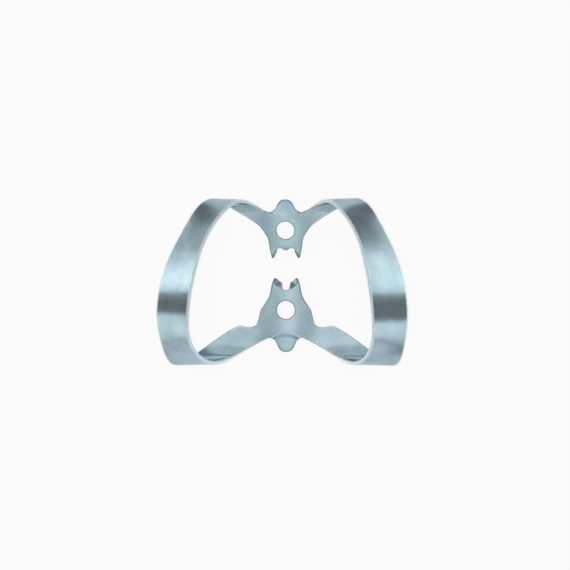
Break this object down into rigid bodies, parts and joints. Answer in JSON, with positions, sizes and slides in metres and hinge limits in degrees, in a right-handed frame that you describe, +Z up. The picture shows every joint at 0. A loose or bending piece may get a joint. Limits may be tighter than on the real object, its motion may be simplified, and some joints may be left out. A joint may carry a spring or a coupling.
{
  "type": "rubber dam clamp",
  "caption": "Stamped spring-steel rubber dam clamp: pronged jaws with forceps holes face each other, joined by a raised bow on either side, to grip a front tooth and hold the dam.",
  "frame": {"origin": "middle of the tooth gap between the prong tips, on the plane that the prongs rest on", "axes": "+X across the clamp from bow to bow, +Y from the lower jaw to the upper jaw, +Z up towards the crests of the bows"},
  "size_m": [0.0382, 0.0256, 0.0115],
  "materials": {
    "steel": "satin tumbled stainless steel, slightly bluish, brighter on the cut edges"
  },
  "bodies": {
    "root": {"dam_clamp": "steel"}
  },
  "joints": []
}
